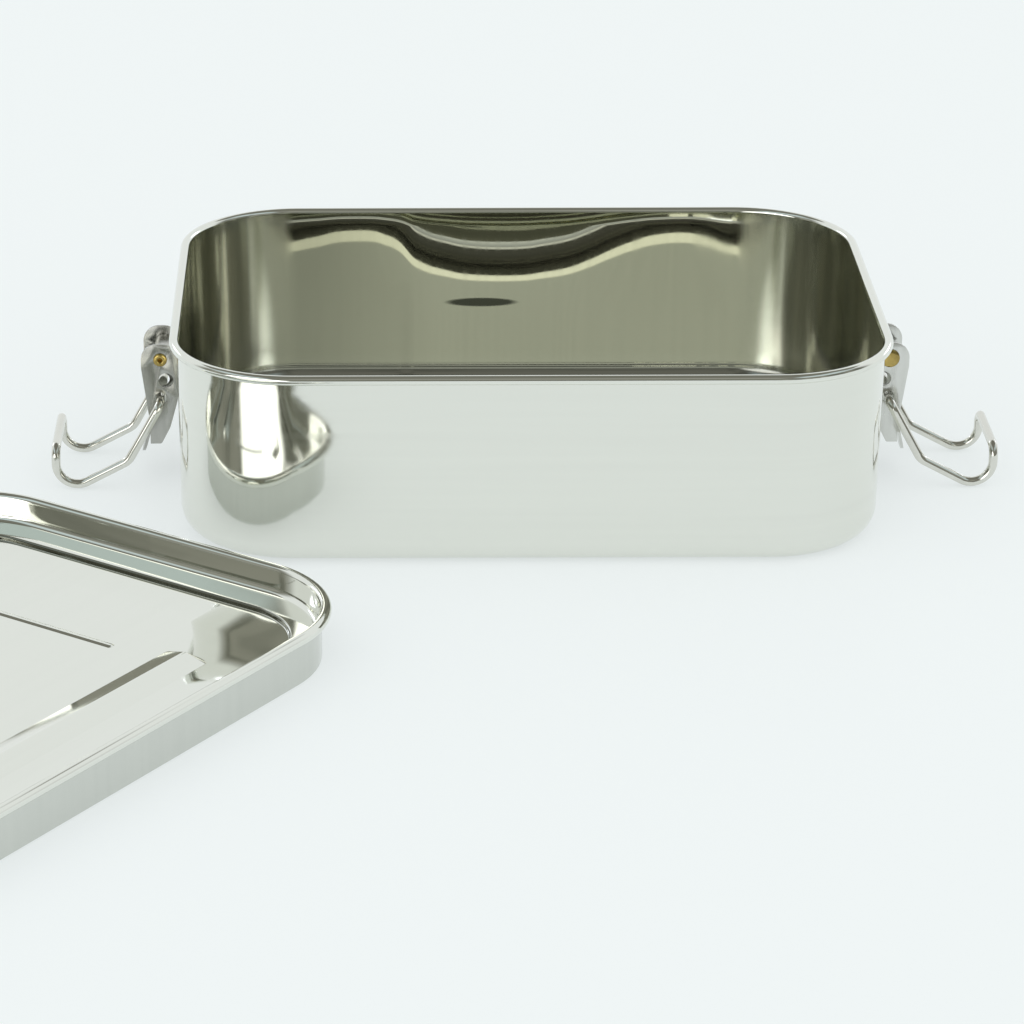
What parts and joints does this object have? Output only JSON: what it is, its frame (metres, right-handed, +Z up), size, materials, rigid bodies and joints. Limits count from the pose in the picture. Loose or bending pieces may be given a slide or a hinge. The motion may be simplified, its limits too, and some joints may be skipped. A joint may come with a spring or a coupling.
{
  "type": "lunch box",
  "caption": "Rounded rectangular stainless steel lunch box with a curled rim, a plug-in lid lying beside it, and wire-bail toggle latches on its ends.",
  "frame": {"origin": "centre of the tub's flat base, on the table", "axes": "+X along the tub's long side to the right in the picture, +Y away from the viewer, +Z up"},
  "size_m": [0.4004, 0.3486, 0.056],
  "materials": {
    "polished_steel": "polished",
    "latch_steel": "satin",
    "rivet_brass": "polished"
  },
  "bodies": {
    "tub": {"box_tub": "polished_steel", "left_latch_bracket": "latch_steel", "right_latch_bracket": "latch_steel", "left_latch_rivet": "rivet_brass", "right_latch_rivet": "rivet_brass"},
    "lid": {"lid": "polished_steel"},
    "left_lever": {"left_latch_lever": "latch_steel"},
    "right_lever": {"right_latch_lever": "latch_steel"},
    "left_bail": {"left_wire_bail": "polished_steel"},
    "right_bail": {"right_wire_bail": "polished_steel"}
  },
  "joints": [
    {"name": "left_lever_hinge", "type": "hinge", "parent": "tub", "child": "left_lever", "pos_m": [-0.1043, 0, 0.037], "axis": [0, 1, 0], "range_deg": [0, 150]},
    {"name": "left_bail_swing", "type": "hinge", "parent": "left_lever", "child": "left_bail", "pos_m": [-0.1043, 0, 0.0252], "axis": [0, -1, 0], "range_deg": [-137.4, 0]},
    {"name": "right_lever_hinge", "type": "hinge", "parent": "tub", "child": "right_lever", "pos_m": [0.1043, 0, 0.037], "axis": [0, -1, 0], "range_deg": [0, 150]},
    {"name": "right_bail_swing", "type": "hinge", "parent": "right_lever", "child": "right_bail", "pos_m": [0.1043, 0, 0.0252], "axis": [0, 1, 0], "range_deg": [-137.4, 0]},
    {"name": "lid_lift", "type": "slide", "parent": "tub", "child": "lid", "axis": [0, 0, 1], "range_m": [0, 0.1]}
  ]
}
